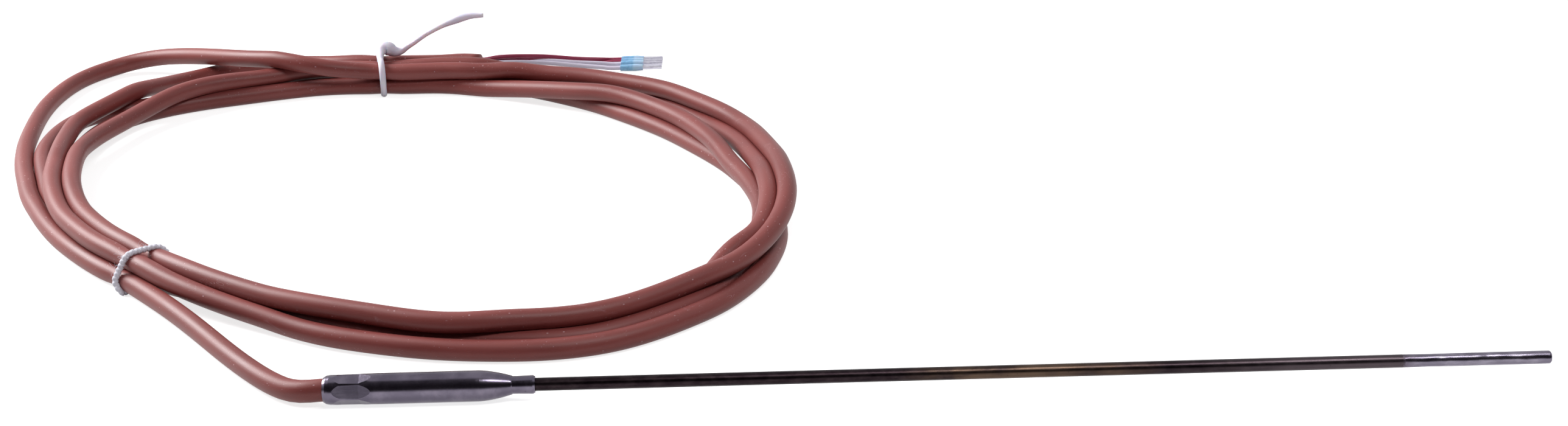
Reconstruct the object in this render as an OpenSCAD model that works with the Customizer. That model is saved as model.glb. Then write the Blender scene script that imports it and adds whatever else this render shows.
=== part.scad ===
// Mineral-insulated resistance temperature probe with a coiled four-core cable.
// The probe lies along +X. The origin is on the probe's axis, at the end face of the
// transition sleeve's neck, where the bare sheath comes out. Millimetres, +Z up.

/* [Sheath] */
// Outer diameter of the metal sheath
sheath_d = 3.0; // [2:0.1:6]
// Wall of the metal sheath
sheath_wall = 0.4; // [0.2:0.05:0.6]
// Bare sheath between the neck's end face and the measuring tip
sheath_l = 194.2; // [50:0.1:400]
// Diameter of each of the four sheath conductors
conductor_d = 0.45; // [0.2:0.05:0.6]
// Radius of the circle that the sheath conductors stand on
conductor_ring_r = 0.64; // [0.5:0.02:1]

/* [Measuring tip] */
// Length of the bright tube that holds the element
tip_l = 33.4; // [20:0.1:60]
// Outer diameter of the tip tube
tip_d = 2.96; // [2:0.02:6]
// Wall of the tip tube
tip_wall = 0.25; // [0.15:0.05:0.5]
// How far the tube is drawn in behind its weld, on the radius
tip_waist = 0.06; // [0:0.01:0.1]
// Width of the weld between sheath and tip tube
weld_w = 0.4; // [0.2:0.1:1]
// Diameter of the platinum resistance element
element_d = 1.6; // [1:0.1:2]
// Length of the resistance element
element_l = 15; // [5:0.5:18]
// Diameter of the element's leads
element_lead_d = 0.25; // [0.15:0.05:0.35]

/* [Transition sleeve] */
// Outer diameter of the barrel
sleeve_d = 7.0; // [6.4:0.1:12]
// Wall of the barrel
sleeve_wall = 0.4; // [0.3:0.05:0.6]
// Length of the barrel, from its mouth to the start of the nose
barrel_l = 34.5; // [34:0.5:60]
// Length of the domed nose between barrel and neck
nose_l = 7.6; // [6:0.1:10]
// Length of the neck that is pressed onto the sheath
neck_l = 5.3; // [3:0.1:10]
// Outer diameter of the neck at the nose
neck_d = 4.0; // [3.8:0.1:7]
// Outer diameter of the neck's flared end
neck_end_d = 4.2; // [4.1:0.1:7.5]
// How far the neck is pressed into the sheath, on the radius
neck_press = 0.2; // [0.2:0.05:0.25]
// Width across the flats of the six-sided crimp
crimp_af = 6.1; // [6.1:0.05:7]
// Length of the crimp's flats
crimp_l = 4.3; // [3:0.1:8]
// Length over which each flat runs out towards the mouth
crimp_out_mouth = 1.8; // [1:0.1:4]
// Length over which each flat runs out towards the probe
crimp_out_probe = 2.8; // [1:0.1:4]
// From the mouth of the sleeve to the middle of the crimp
crimp_at = 6; // [5:0.1:12]
// Turn of the crimp about the probe's axis, in degrees
crimp_turn = 15; // [0:1:59]

/* [Cable] */
// Outer diameter of the cable's silicone jacket
cable_d = 5.2; // [4.6:0.1:5.2]
// Length of jacket inside the sleeve
cable_in_sleeve = 9.4; // [8:0.2:12]
// Outer diameter of each insulated core
core_d = 1.35; // [1:0.05:1.6]
// Diameter of the stranded conductor inside a core
strand_d = 0.65; // [0.4:0.05:0.8]

/* [Coil] */
// Height of the bundle of turns, in cable diameters
coil_layers = 2.1; // [1.8:0.1:3]

/* [Cores and ferrules] */
// Outer diameter of a ferrule's plastic collar
collar_d = 2.2; // [2:0.1:3]
// Length of a ferrule's plastic collar
collar_l = 7.2; // [4:0.2:8]
// Outer diameter of a ferrule's metal tube
ferrule_d = 1.35; // [1:0.05:1.5]
// Length of the metal tube that stands out of the collar
ferrule_l = 6; // [5:0.5:10]
// Wall of a ferrule's metal tube
ferrule_wall = 0.15; // [0.1:0.05:0.25]

/* [Ties] */
// Thickness of the elastic tie round the coil
elastic_t = 1.8; // [1:0.1:2]
// Width of the elastic tie along the cable
elastic_w = 1.9; // [1:0.1:4]
// Thickness of the nylon tie round the coil
nylon_t = 0.9; // [0.6:0.1:1.5]
// Width of the nylon tie along the cable
nylon_w = 2.2; // [1:0.1:4]

/* [Hidden] */
$fn = 64;
fit = 0.02;    // clearance between parts that touch round a common axis
seat = 0.3;    // gap between the coil's outer shape and what lies round it
wires = 4;     // cores, conductors and splices
sides = 8;     // sides of a swept wire, and half again as many on the cable

steel = "silver";
dark_steel = "#4a3f3c";
silicone = "#a86460";
red_silicone = "#96143c";
white_silicone = "#d8d4e0";

sleeve_l = barrel_l + nose_l + neck_l;
mouth_x = -sleeve_l;                   // the cable's exit
shoulder_x = -nose_l - neck_l;
floor_z = -sleeve_d / 2;               // the surface that the part lies on
sheath_bore = sheath_d - 2 * sheath_wall;
barrel_bore = sleeve_d - 2 * sleeve_wall;
sheath_in = neck_l + 3.5;              // sheath held inside the sleeve
tip_x = sheath_l;                      // where the tip tube starts
tip_bore = tip_d - 2 * tip_wall;
end_x = tip_x + tip_l;
jacket_x = mouth_x + cable_in_sleeve;  // cut end of the jacket inside the sleeve

// Splices inside the sleeve, each between a sheath conductor and a cable core
splice_ring_r = barrel_bore / 2 - 1.35;
crimp_d = 1.1;
cover_d = 1.9;
splice_l = 7;
splice_x = -sheath_in - 12;            // middle of the splices
core_ring_r = core_d / sqrt(2) + 0.05;
core_colour = [red_silicone, white_silicone, white_silicone, red_silicone];

function on_ring(i, r, turn = 45) = [r * cos(turn + 360 / wires * i), r * sin(turn + 360 / wires * i)];
function at_x(x, yz) = [x, yz[0], yz[1]];
function unit(v) = v / norm(v);

// Circle of n points round p, square to the direction t
function hoop(p, t, d, n) =
    let (side = unit(cross(t, abs(t[2]) > 0.9 ? [1, 0, 0] : [0, 0, 1])), up = cross(side, t))
    [for (k = [0 : n - 1]) p + d / 2 * (cos(360 * k / n) * side + sin(360 * k / n) * up)];

// Closed solid through rings of n points each
module skin(rings) {
    n = len(rings[0]);
    last = len(rings) - 1;
    polyhedron(
        points = [for (r = rings) each r],
        faces = concat(
            [[for (k = [n - 1 : -1 : 0]) k]],
            [for (j = [0 : last - 1], k = [0 : n - 1])
                [j * n + k, j * n + (k + 1) % n, (j + 1) * n + (k + 1) % n, (j + 1) * n + k]],
            [[for (k = [0 : n - 1]) last * n + k]]));
}

// Round solid swept along the points of a route
module sweep(route, d, n = sides) {
    last = len(route) - 1;
    skin([for (j = [0 : last])
        hoop(route[j], unit(route[min(j + 1, last)] - route[max(j - 1, 0)]), d, n)]);
}

// ---- probe ------------------------------------------------------------------

module along_x(from, to, d) {
    translate([from, 0, 0]) rotate([0, 90, 0]) cylinder(h = to - from, d = d);
}

// The sheath's surface, ground down to go into the sleeve's neck
module sheath_body(from, to, grow = 0) {
    r = sheath_d / 2 + grow;
    rotate([0, 90, 0]) rotate_extrude() polygon([
        [0, from], [r - neck_press, from], [r - neck_press, -0.6], [r, 0.1], [r, to], [0, to]]);
}

module sheath_tube() {
    color(dark_steel) difference() {
        sheath_body(-sheath_in, tip_x);
        along_x(-sheath_in - 1, tip_x + 1, sheath_bore);
    }
}

insulation_from = -sheath_in + 0.5;
insulation_to = tip_x - 0.5;

module sheath_insulation() {
    color("white") difference() {
        along_x(insulation_from, insulation_to, sheath_bore - 2 * fit);
        for (i = [0 : wires - 1])
            translate(at_x(0, on_ring(i, conductor_ring_r)))
                along_x(insulation_from - 1, insulation_to + 1, conductor_d + 2 * fit);
    }
}

// Each conductor runs straight through the sheath and spreads to its splice
conductor_end_x = tip_x + 4;
function conductor_route(i) = [
    at_x(splice_x + 0.5, on_ring(i, splice_ring_r)),
    at_x(splice_x + splice_l / 2 + 1, on_ring(i, splice_ring_r)),
    at_x(insulation_from - 1, on_ring(i, conductor_ring_r)),
    at_x(insulation_from + 2, on_ring(i, conductor_ring_r)),
    at_x(conductor_end_x, on_ring(i, conductor_ring_r))];

module sheath_conductor(i) {
    color("gold") sweep(conductor_route(i), conductor_d);
}

tip_end_wall = 0.6;
tip_edge_r = 0.6;
element_x = end_x - tip_end_wall - 1.5 - element_l;

// Half outline of the tip tube: drawn in behind the weld, closed round end
module tip_tube() {
    r = tip_d / 2;
    waist_x = 6;
    color(steel) rotate([0, 90, 0]) rotate_extrude() difference() {
        union() {
            translate([0, tip_x + weld_w]) polygon([
                [0, 0], [r, 0], [r, 1], [r - tip_waist, waist_x], [r, waist_x * 2],
                [r, tip_l - weld_w - tip_edge_r], [0, tip_l - weld_w - tip_edge_r]]);
            translate([0, end_x - tip_edge_r]) square([r - tip_edge_r, tip_edge_r]);
            intersection() {
                translate([r - tip_edge_r, end_x - tip_edge_r]) circle(tip_edge_r);
                translate([0, end_x - tip_edge_r]) square([r, tip_edge_r]);
            }
        }
        translate([-1, tip_x - 1]) square([1 + tip_bore / 2, tip_l - tip_end_wall + 1]);
    }
}

module tip_weld() {
    color(steel) difference() {
        along_x(tip_x, tip_x + weld_w, tip_d);
        along_x(tip_x - 1, tip_x + weld_w + 1, tip_bore);
    }
}

module rtd_element() {
    color("ivory") along_x(element_x, element_x + element_l, element_d);
}

// Each lead ends in a weld bead on two conductors, and runs straight to the element
bead_l = 0.3;
lead_reach = conductor_ring_r * sin(45);
function lead_side(i) = i == 0 ? lead_reach : -lead_reach;

module element_lead(i) {
    color("gold") {
        hull() for (z = [-lead_reach, lead_reach])
            translate([0, lead_side(i), z]) along_x(conductor_end_x, conductor_end_x + bead_l, conductor_d);
        translate([0, lead_side(i), 0]) along_x(conductor_end_x + 0.1, element_x, element_lead_d);
    }
}

module tip_powder_fill() {
    color("whitesmoke") difference() {
        along_x(tip_x, end_x - tip_end_wall - fit, tip_bore - 2 * fit);
        along_x(tip_x - 1, conductor_end_x + bead_l + fit, 2 * conductor_ring_r + conductor_d + 4 * fit);
        along_x(element_x - fit, element_x + element_l + fit, element_d + 2 * fit);
        for (i = [0, 1])
            translate([0, lead_side(i), 0]) along_x(conductor_end_x, element_x + 1, element_lead_d + 2 * fit);
    }
}

// ---- transition sleeve ------------------------------------------------------

// One drawn tube: mouth rolled in on the cable, straight barrel, domed nose, flared neck
step_d = neck_d + 0.3;
mouth_d = cable_d + 0.5;

module sleeve_outline(grow = 0) {
    r = sleeve_d / 2 + grow;
    polygon(concat(
        [[0, mouth_x], [mouth_d / 2 + grow, mouth_x], [r - 0.3, mouth_x + 0.6], [r - 0.15, mouth_x + 1.4],
         [r, mouth_x + 12]],
        [for (s = [0 : 0.1 : 1]) [r - (r - step_d / 2 - grow) * pow(s, 1.65), shoulder_x + s * nose_l]],
        [[neck_d / 2 + grow, -neck_l + 0.2], [neck_d / 2 + grow, -neck_l + 1.2],
         [neck_end_d / 2 + grow, -0.9], [neck_end_d / 2 + grow, -0.5],
         [neck_end_d / 2 + grow - 0.3, 0], [0, 0]]));
}

// Six flats pressed into the barrel, each running out at both ends
module crimp_cuts(af) {
    from = -crimp_l / 2 - crimp_out_mouth;
    to = crimp_l / 2 + crimp_out_probe;
    for (k = [0 : 5])
        translate([mouth_x + crimp_at, 0, 0]) rotate([crimp_turn + 60 * k, 0, 0])
            translate([0, sleeve_d / 2, 0]) rotate([90, 0, 0]) linear_extrude(sleeve_d) polygon([
                [-crimp_l / 2, af / 2], [crimp_l / 2, af / 2], [to, sleeve_d / 2], [to, sleeve_d / 2 + 1],
                [from, sleeve_d / 2 + 1], [from, sleeve_d / 2 - 0.1]]);
}

// Room inside the sleeve, as wide as the wall allows, down to the cable at the mouth
module sleeve_room(grow = 0) {
    rotate([0, 90, 0]) rotate_extrude() intersection() {
        sleeve_outline(-sleeve_wall + grow);
        translate([0, mouth_x + 1]) square([sleeve_d, sleeve_l - neck_l - 1]);
    }
}

module transition_sleeve() {
    color(steel) difference() {
        rotate([0, 90, 0]) rotate_extrude() sleeve_outline();
        crimp_cuts(crimp_af);
        difference() {
            sleeve_room();
            crimp_cuts(crimp_af - 2 * sleeve_wall);
        }
        along_x(mouth_x - 1, mouth_x + 2, cable_d + 0.1);
        sheath_body(-neck_l - 1, 1, fit);
    }
}

// Resin round the splices, between the cut jacket and the end of the sheath
module sleeve_potting() {
    color("#3a3a3a") difference() {
        intersection() {
            sleeve_room(-0.1);
            along_x(jacket_x + 1.4, -sheath_in - 0.4, sleeve_d);
        }
        for (i = [0 : wires - 1]) {
            translate(at_x(0, on_ring(i, splice_ring_r)))
                along_x(splice_x - splice_l / 2 - 1, splice_x + splice_l / 2 + 1, cover_d + 2 * fit);
            sweep(concat([at_x(jacket_x, on_ring(i, core_ring_r))], core_in_route(i)), core_d + 0.12);
            sweep(conductor_route(i), conductor_d + 0.12);
        }
    }
}

module splice_crimp(i) {
    color("goldenrod") translate(at_x(0, on_ring(i, splice_ring_r))) difference() {
        along_x(splice_x - 2.2, splice_x + 2.2, crimp_d);
        along_x(splice_x - 3, splice_x, strand_d + 2 * fit);
        along_x(splice_x - 1, splice_x + 3, conductor_d + 2 * fit);
    }
}

module splice_cover(i) {
    color("lightyellow") translate(at_x(0, on_ring(i, splice_ring_r))) difference() {
        along_x(splice_x - splice_l / 2, splice_x + splice_l / 2, cover_d);
        along_x(splice_x - splice_l / 2 - 1, splice_x + splice_l / 2 + 1, core_d + 2 * fit);
    }
}

// The four cores fan out from the cut jacket to their splices
function core_in_route(i) = [
    at_x(jacket_x + 0.05, on_ring(i, core_ring_r)),
    at_x(jacket_x + 2, on_ring(i, core_ring_r)),
    at_x(splice_x - splice_l / 2 - 3, on_ring(i, splice_ring_r)),
    at_x(splice_x - splice_l / 2, on_ring(i, splice_ring_r)),
    at_x(splice_x - 2.4, on_ring(i, splice_ring_r))];

module lead_core(i) {
    color(core_colour[i]) difference() {
        sweep(core_in_route(i), core_d);
        sweep(strand_route(i, -1), strand_d + 0.1);
    }
}

function strand_route(i, more) =
    let (r = core_in_route(i), last = len(r) - 1) concat(
    [r[0] + [more, 0, 0]], [r[1], r[2], r[3]], [r[last] + [abs(more) + 2, 0, 0]]);

module lead_strand(i) {
    color("#b87333") sweep(strand_route(i, 0.1), strand_d);
}

// ---- cable and coil ---------------------------------------------------------

// Route of the lead from inside the sleeve to the coil
lead_route = [
    [jacket_x, 0, 0], [mouth_x, 0, 0], [mouth_x - 3, 0.3, 0.1], [-54, 1.8, -0.4], [-58, 4.2, -0.7],
    [-62, 7.8, -0.9], [-67, 13.8, -0.9], [-72, 20, -0.9], [-77, 26.8, -0.9], [-82, 33.8, -0.9],
    [-87, 40.6, -0.9], [-92, 47.2, -0.9], [-98.8, 55.6, -0.9]];

// Last stretch of jacket, from the coil's tie to the cut end
end_route = [[-54, 225, 3.6], [-49, 224.5, 3.6], [-43, 223.4, 3.6], [-37, 222, 3.6]];

module cable_lead() {
    color(silicone) sweep(lead_route, cable_d, 10);
}

module cable_end() {
    color(silicone) sweep(end_route, cable_d, 10);
}

// The coil lies round this point. Its bundle of turns is loose on the left and at the
// front, and tight at the two ties. The lists go round in steps of 15 degrees from +X.
coil_centre = [-47, 127];
coil_inner = [89, 83, 79, 78, 78, 81, 84, 86, 95, 101, 98, 95,
              89, 83, 78, 77, 74, 79, 86, 95, 105, 105, 101, 95];
coil_outer = [106, 101, 97, 95, 93, 92, 94, 102, 139, 160, 141, 121,
              105, 96, 91, 89, 85, 90, 100, 112, 123, 124, 118, 112];
coil_step = 15;

// Smooth closed run through a list of values, at the angle a
function round_trip(list, a) =
    let (n = len(list), s = a / coil_step, i = floor(s), u = s - i,
         p = [for (k = [-1 : 2]) list[(i + k + 2 * n) % n]])
    0.5 * (2 * p[1] + (p[2] - p[0]) * u + (2 * p[0] - 5 * p[1] + 4 * p[2] - p[3]) * u * u
           + (3 * p[1] - p[0] - 3 * p[2] + p[3]) * u * u * u);

// Each tie lies in a shallow waist, which lifts the turns by the tie's thickness
elastic_at = 222;
nylon_at = 102;
function waist(a, at, half) = let (d = abs(a - at)) d >= half ? 0 : 0.5 + 0.5 * cos(180 * d / half);

// Near a tie the outline stays as it is under the tie
function settle(a, at, half) = a - (a - at) * waist(a, at, half);
function station(a) = settle(settle(a, elastic_at, 12), nylon_at, 12);
function coil_lift(a) =
    (elastic_t + seat) * waist(a, elastic_at, 20) + (nylon_t + seat) * waist(a, nylon_at, 20);

// Outline of the bundle square to the coil, as [distance from the centre, height]
coil_corners = 12;
function bundle(a, grow = 0) =
    let (lo = round_trip(coil_inner, station(a)), hi = round_trip(coil_outer, station(a)),
         foot = floor_z + coil_lift(a), top = floor_z + coil_layers * cable_d,
         w = (hi - lo) / 2 + grow, h = (top - foot) / 2 + grow)
    [for (k = [0 : coil_corners - 1]) let (t = 360 * (k + 0.5) / coil_corners, c = cos(t), s = sin(t),
         e = pow(pow(abs(c), 3) + pow(abs(s), 3), 1 / 3))
        [(hi + lo) / 2 + w * c / e, (top + foot) / 2 + h * s / e]];

module cable_coil() {
    rings = 120;
    color(silicone) polyhedron(
        points = [for (j = [0 : rings - 1], p = bundle(360 * j / rings))
            [coil_centre[0] + p[0] * cos(360 * j / rings),
             coil_centre[1] + p[0] * sin(360 * j / rings), p[1]]],
        faces = [for (j = [0 : rings - 1], k = [0 : coil_corners - 1])
            let (a = j * coil_corners, b = (j + 1) % rings * coil_corners, m = (k + 1) % coil_corners)
            [a + k, a + m, b + m, b + k]]);
}

// ---- free cores and ferrules ------------------------------------------------

// Far end of the cable, where the four cores leave the jacket
cut_point = end_route[len(end_route) - 1];
cut_way = unit(cut_point - end_route[len(end_route) - 2]);

// The four ferrules lie on the surface, one beside the other
ferrule_x = 6;
ferrule_y = [239.6, 231, 235, 237.3];
function ferrule_start(i) = [ferrule_x, ferrule_y[i], floor_z + collar_d / 2];

free_core_middle = [
    [[-31, 223.2, 4.8], [-25, 226.3, 3.9], [-17, 231.4, 1.9], [-8, 235.7, -0.5], [0, 238.2, -1.8]],
    [[-31, 221.7, 3.5], [-25, 224, 2.7], [-17, 227.9, 0.9], [-8, 230.8, -1.1], [0, 231.2, -2.1]],
    [[-31, 223, 2.1], [-25, 226, 1.6], [-17, 230, 0.9], [-8, 233.1, -0.9], [0, 234.8, -2]],
    [[-31, 224.6, 3.4], [-25, 227.8, 2.4], [-17, 232.6, 0.1], [-8, 235.9, -2.2], [0, 236.8, -2.6]]];

function free_core_route(i) =
    let (o = on_ring(i, core_ring_r, 90), side = unit(cross(cut_way, [0, 0, 1])),
         p = cut_point - o[0] * side + o[1] * [0, 0, 1])
    concat([p, p + 2 * cut_way], free_core_middle[i], [ferrule_start(i)]);

module free_core(i) {
    color(core_colour[i]) sweep(free_core_route(i), core_d);
}

module ferrule_collar(i) {
    r = collar_d / 2;
    color("lightblue") translate(ferrule_start(i)) rotate([0, 90, 0]) rotate_extrude() polygon([
        [ferrule_d / 2 + fit, 2], [ferrule_d / 2 + fit, collar_l], [ferrule_d / 2 + 0.25, collar_l],
        [r, collar_l - 2.2], [r, collar_l - 3], [core_d / 2 + 0.3, 0.1], [core_d / 2, 0.1], [core_d / 2, 2]]);
}

module ferrule_tube(i) {
    color(steel) translate(ferrule_start(i)) difference() {
        along_x(2, collar_l + ferrule_l, ferrule_d);
        along_x(1, collar_l + ferrule_l + 1, ferrule_d - 2 * ferrule_wall);
    }
}

// ---- ties -------------------------------------------------------------------

module round_bundle(at, t, w) {
    translate([coil_centre[0], coil_centre[1], 0]) rotate([90, 0, at]) linear_extrude(w, center = true)
        difference() {
            polygon(bundle(at, seat + t));
            polygon(bundle(at, seat));
        }
}

module elastic_tie() {
    color("white") round_bundle(elastic_at, elastic_t - seat / 2, elastic_w);
}

// The nylon tie has a lock on top of the coil, and a free tail that stands up
tail_route = [[-67.5, 220.6, 8.3], [-66.5, 221, 9], [-64.5, 221.4, 9.5], [-62, 221.7, 9.1],
              [-59.5, 222, 9.3], [-57, 222.3, 10.6], [-53, 222.6, 13.2], [-48, 222.8, 15.7],
              [-43, 223, 17.6], [-39, 223, 18.5], [-35, 223, 18.6]];
tail_d = [1, 1.8, 2.6, 2.2, 1.7, 1.5, 1.6, 1.9, 2.7, 1.8, 1.5];

module nylon_tie() {
    last = len(tail_route) - 1;
    color("whitesmoke") {
        round_bundle(nylon_at, nylon_t, nylon_w);
        skin([for (j = [0 : last])
            let (way = unit(tail_route[min(j + 1, last)] - tail_route[max(j - 1, 0)]))
            hoop(tail_route[j], way, tail_d[j], sides)]);
    }
}

// ---- parts ------------------------------------------------------------------

sheath_tube();
sheath_insulation();
sheath_conductor(0);  // sheath_conductor_1
sheath_conductor(1);  // sheath_conductor_2
sheath_conductor(2);  // sheath_conductor_3
sheath_conductor(3);  // sheath_conductor_4
tip_tube();
tip_weld();
tip_powder_fill();
rtd_element();
element_lead(0);  // element_lead_1
element_lead(1);  // element_lead_2
transition_sleeve();
sleeve_potting();
splice_crimp(0);  // splice_crimp_1
splice_crimp(1);  // splice_crimp_2
splice_crimp(2);  // splice_crimp_3
splice_crimp(3);  // splice_crimp_4
splice_cover(0);  // splice_cover_1
splice_cover(1);  // splice_cover_2
splice_cover(2);  // splice_cover_3
splice_cover(3);  // splice_cover_4
lead_core(0);  // lead_core_1
lead_core(1);  // lead_core_2
lead_core(2);  // lead_core_3
lead_core(3);  // lead_core_4
lead_strand(0);  // lead_strand_1
lead_strand(1);  // lead_strand_2
lead_strand(2);  // lead_strand_3
lead_strand(3);  // lead_strand_4
cable_lead();
cable_coil();
cable_end();
free_core(0);  // core_red_1
free_core(3);  // core_red_2
free_core(1);  // core_white_1
free_core(2);  // core_white_2
ferrule_collar(0);  // ferrule_collar_1
ferrule_collar(1);  // ferrule_collar_2
ferrule_collar(2);  // ferrule_collar_3
ferrule_collar(3);  // ferrule_collar_4
ferrule_tube(0);  // ferrule_tube_1
ferrule_tube(1);  // ferrule_tube_2
ferrule_tube(2);  // ferrule_tube_3
ferrule_tube(3);  // ferrule_tube_4
elastic_tie();
nylon_tie();
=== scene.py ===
"""Sheathed resistance thermometer with a crimped transition sleeve and a coiled silicone lead.

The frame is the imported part's: +X along the probe to its tip, +Z up. Lengths here are in
millimetres, and become metres where a piece is made. The settled cable, its cores, the ties
round the coil and all finishes are made here. The metal pieces keep the part's own shapes.
"""
import math

import bpy
import numpy as np
from mathutils import Matrix, Vector


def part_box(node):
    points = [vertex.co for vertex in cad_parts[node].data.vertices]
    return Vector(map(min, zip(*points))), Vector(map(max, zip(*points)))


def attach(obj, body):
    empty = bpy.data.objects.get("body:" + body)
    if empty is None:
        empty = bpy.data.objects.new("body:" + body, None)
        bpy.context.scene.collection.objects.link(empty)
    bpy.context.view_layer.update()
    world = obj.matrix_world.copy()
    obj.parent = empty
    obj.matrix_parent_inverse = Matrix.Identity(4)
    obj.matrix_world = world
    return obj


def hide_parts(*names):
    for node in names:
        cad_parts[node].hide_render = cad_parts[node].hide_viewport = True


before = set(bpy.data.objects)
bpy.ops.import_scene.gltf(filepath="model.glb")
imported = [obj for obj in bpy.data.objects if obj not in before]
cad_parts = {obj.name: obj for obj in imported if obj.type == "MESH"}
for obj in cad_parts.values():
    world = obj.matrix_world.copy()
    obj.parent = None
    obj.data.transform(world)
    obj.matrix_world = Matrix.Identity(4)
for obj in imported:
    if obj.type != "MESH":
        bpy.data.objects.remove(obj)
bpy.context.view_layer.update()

MM = 0.001
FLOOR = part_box("transition_sleeve")[0][2] / MM      # height of the surface it lies on

# ---- camera --------------------------------------------------------------------------------

CAMERA_AT = (56.7, -466.6, 228.3)
CAMERA_DOWN = 22.0                                  # degrees below level
CAMERA_ROLL = 1.55                                  # degrees
CAMERA_LENS = 53.1
CAMERA_SENSOR = 36
NEAREST = 10                                        # nothing closer to the camera is drawn


def add_camera():
    down, roll = math.radians(CAMERA_DOWN), math.radians(CAMERA_ROLL)
    ahead = Vector((0, math.cos(down), -math.sin(down)))
    level, rise = Vector((1, 0, 0)), Vector((0, math.sin(down), math.cos(down)))
    right = math.cos(roll) * level - math.sin(roll) * rise
    up = math.sin(roll) * level + math.cos(roll) * rise
    data = bpy.data.cameras.new("camera")
    data.sensor_fit, data.sensor_width, data.lens = "HORIZONTAL", CAMERA_SENSOR, CAMERA_LENS
    data.clip_start = NEAREST * MM
    camera = bpy.data.objects.new("camera", data)
    bpy.context.scene.collection.objects.link(camera)
    turn = Matrix((right, up, -ahead)).transposed().to_4x4()
    camera.matrix_world = Matrix.Translation(Vector(CAMERA_AT) * MM) @ turn
    bpy.context.scene.camera = camera


add_camera()

# ---- curves and meshes ---------------------------------------------------------------------

CURVE_PARTS = 24                                    # fine steps between two route points
TUBE_SIDES = 24


def smooth_run(points, step):
    """Even points along the smooth curve through the given points. Columns after the third,
    such as a thickness, are carried along."""
    p = np.array(points, float)
    p = np.vstack([2 * p[0] - p[1], p, 2 * p[-1] - p[-2]])
    u = np.linspace(0, 1, CURVE_PARTS, endpoint=False)[:, None]
    fine = [0.5 * (2 * b + (c - a) * u + (2 * a - 5 * b + 4 * c - d) * u ** 2
                   + (3 * b - a - 3 * c + d) * u ** 3)
            for a, b, c, d in zip(p[:-3], p[1:-2], p[2:-1], p[3:])]
    return spaced(np.vstack(fine + [p[-2:-1]]), step)


def run_at(line):
    """Length of the line up to each of its points."""
    return np.r_[0, np.cumsum(np.linalg.norm(np.diff(line[:, :3], axis=0), axis=1))]


def spaced(line, step):
    """The same line with even steps of about the given length."""
    run = run_at(line)
    at = np.linspace(0, run[-1], max(2, round(run[-1] / step) + 1))
    return np.stack([np.interp(at, run, column) for column in line.T], 1)


def across(line):
    """Two directions square to the line at each point, carried along it without twist."""
    t = np.gradient(line, axis=0)
    t /= np.linalg.norm(t, axis=1)[:, None]
    side = np.cross(t[0], (0, 0, 1.0))
    if np.linalg.norm(side) < 0.1:
        side = np.cross(t[0], (0, 1.0, 0))
    sides = []
    for direction in t:
        side = side - direction * side.dot(direction)
        side = side / np.linalg.norm(side)
        sides.append(side)
    sides = np.array(sides)
    return sides, np.cross(sides, t)


def add_mesh(name, verts, faces, skin):
    """A smooth mesh. skin is the place on it, for finishes that follow a swept piece."""
    mesh = bpy.data.meshes.new(name)
    mesh.from_pydata([tuple(v) for v in np.asarray(verts) * MM], [], faces)
    mesh.validate()
    mesh.polygons.foreach_set("use_smooth", [True] * len(mesh.polygons))
    attribute = mesh.attributes.new("skin", "FLOAT_VECTOR", "POINT")
    attribute.data.foreach_set("vector", np.asarray(skin, np.float32).ravel())
    piece = bpy.data.objects.new(name, mesh)
    bpy.context.scene.collection.objects.link(piece)
    return piece


def ring_faces(rings, sides, first=0):
    """Faces of a closed tube whose rings of vertices start at the given vertex."""
    faces = [(first + r * sides + k, first + r * sides + (k + 1) % sides,
              first + (r + 1) * sides + (k + 1) % sides, first + (r + 1) * sides + k)
             for r in range(rings - 1) for k in range(sides)]
    faces.append(tuple(first + k for k in reversed(range(sides))))
    faces.append(tuple(first + (rings - 1) * sides + k for k in range(sides)))
    return faces


def circle(sides):
    """Cosines and sines of a ring's vertices, to go with (rings, sides, 3) arrays."""
    turn = 2 * np.pi * np.arange(sides) / sides
    return np.cos(turn)[None, :, None], np.sin(turn)[None, :, None]


def add_tube(name, line, radius, sides=TUBE_SIDES):
    """A round tube. radius is one number, one for each point or one for each vertex. Its
    skin is the place on it as if it were straight: across, across, along."""
    a, b = across(line)
    c, s = circle(sides)
    r = np.asarray(radius, float)
    r = np.broadcast_to(r if r.ndim == 2 else r.reshape(-1, 1), (len(line), sides))[:, :, None]
    verts = line[:, None] + r * (c * a[:, None] + s * b[:, None])
    run = np.broadcast_to(run_at(line)[:, None, None], r.shape)
    skin = np.concatenate([r * c, r * s, run], axis=2)
    return add_mesh(name, verts.reshape(-1, 3), ring_faces(len(line), sides),
                    skin.reshape(-1, 3))


# ---- the cable's run -----------------------------------------------------------------------

CABLE_D = 5.2
COIL_CENTRE = (-47, 127)
JACKET_X = -38.0                                    # where the jacket starts, in the sleeve
LEAD_ROUTE = [
    (JACKET_X, 0, 0), (-47.5, 0, 0), (-50.5, 0.1, -0.2), (-53.4, 0.9, -0.6), (-56.4, 2.8, -0.8),
    (-59.2, 5.1, -0.9), (-62, 7.8, -0.9), (-67, 13.6, -0.9), (-72, 20, -0.9), (-77, 26.8, -0.9),
    (-82, 33.8, -0.9), (-87, 40.6, -0.9), (-92, 47.2, -0.9), (-98.8, 55.6, -0.9)]
END_ROUTE = [(-43, 223.4, 3.6), (-37, 222, 3.6)]    # up to where the jacket is cut back

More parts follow.
